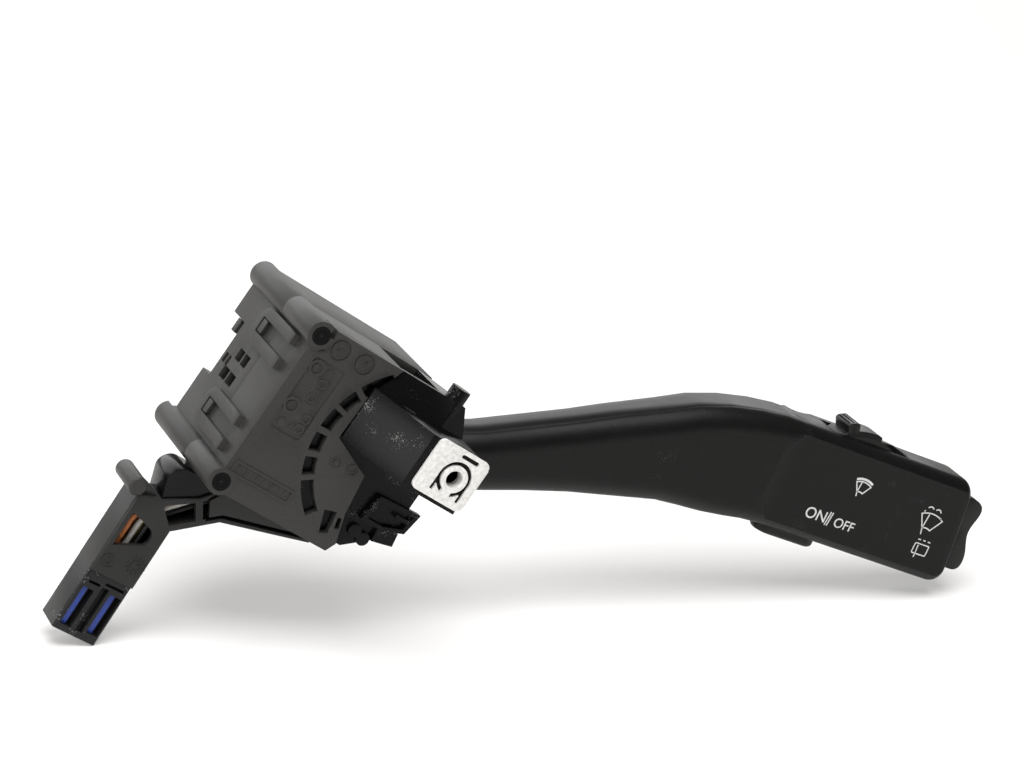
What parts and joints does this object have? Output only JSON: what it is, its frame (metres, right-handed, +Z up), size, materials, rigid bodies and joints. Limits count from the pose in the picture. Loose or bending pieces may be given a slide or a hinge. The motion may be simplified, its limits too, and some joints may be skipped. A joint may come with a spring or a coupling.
{
  "type": "combination stalk switch",
  "caption": "Wiper-side column stalk switch: latch-on body with spring nut, cable duct and plug, cranked lever with thumb wheel, tip rocker and reset button.",
  "frame": {"origin": "centre of the seat face that latches onto the column carrier", "axes": "+X towards the lever's tip, +Y away from the driver, +Z up as the switch rests on its plug and lever tip; the body's own axes lean 30 degrees about Y"},
  "size_m": [0.2503, 0.0596, 0.0846],
  "materials": {
    "shell": "fine matt grain",
    "frame_black": "glossy moulded",
    "steel": "bright zinc",
    "cream": "natural acetal",
    "board": "solder mask",
    "brass": "plain",
    "blue": "matt",
    "lever_black": "soft satin grain",
    "button_black": "satin",
    "tact": "moulded",
    "wire_orange": "wire insulation",
    "wire_white": "wire insulation",
    "wire_black": "wire insulation",
    "wire_teal": "wire insulation",
    "wire_brown": "wire insulation",
    "wire_yellow": "wire insulation"
  },
  "bodies": {
    "housing": {"front_shell": "shell", "rear_shell": "shell", "carrier": "frame_black", "spring_nut": "steel", "detent_cam": "cream", "contact_board": "board", "board_frame": "cream", "contact_tracks": "brass", "cable_duct": "shell", "duct_hood": "frame_black", "latch_leaf": "shell", "plug_housing": "shell", "plug_lock": "blue", "plug_terminals": "brass", "terminal_block": "cream", "wire_orange": "wire_orange", "wire_white": "wire_white", "wire_black": "wire_black", "wire_teal": "wire_teal", "wire_brown": "wire_brown", "wire_yellow": "wire_yellow"},
    "yoke": {"swing_yoke": "frame_black", "tilt_pin": "steel"},
    "lever": {"lever_root": "frame_black", "lever_front_shell": "lever_black", "lever_rear_shell": "lever_black", "wheel_bezel": "lever_black", "wheel_axle": "steel", "head_board": "board", "tact_switches": "tact", "rocker_pin": "steel"},
    "plunger": {"detent_plunger": "cream", "detent_spring": "steel"},
    "slider": {"contact_slider": "cream", "slider_fingers": "brass"},
    "wheel": {"interval_wheel": "lever_black", "wheel_brush": "brass"},
    "rocker": {"rocker_button": "button_black"},
    "reset": {"reset_button": "button_black"}
  },
  "joints": [
    {"name": "stage_swing", "type": "hinge", "parent": "housing", "child": "yoke", "pos_m": [0.03058, 0, -0.02204], "axis": [0, -1, 0], "range_deg": [-5, 15]},
    {"name": "push_pull", "type": "hinge", "parent": "yoke", "child": "lever", "pos_m": [0.03058, 0, -0.02204], "axis": [-0.0087, 0, 1], "range_deg": [-6, 6], "stiffness_Nm_per_rad": 4},
    {"name": "detent_slide", "type": "slide", "parent": "lever", "child": "plunger", "axis": [1, 0, 0.0087], "range_m": [0, 0.0007], "stiffness_N_per_m": 900},
    {"name": "contact_slide", "type": "slide", "parent": "housing", "child": "slider", "axis": [0.0087, 0, -1], "range_m": [-0.00125, 0.0037]},
    {"name": "interval_turn", "type": "hinge", "parent": "lever", "child": "wheel", "pos_m": [0.16706, 0, -0.03435], "axis": [0, 1, 0], "range_deg": [0, 36]},
    {"name": "rocker_tilt", "type": "hinge", "parent": "lever", "child": "rocker", "pos_m": [0.19902, 0, -0.04564], "axis": [0, 1, 0], "range_deg": [-4, 4], "stiffness_Nm_per_rad": 0.8},
    {"name": "reset_press", "type": "slide", "parent": "lever", "child": "reset", "axis": [0.3272, 0, 0.9449], "range_m": [0, 0.0008], "stiffness_N_per_m": 900}
  ],
  "couplings": [
    {"joint": "contact_slide", "follows": "stage_swing", "m_per_rad": 0.014}
  ]
}
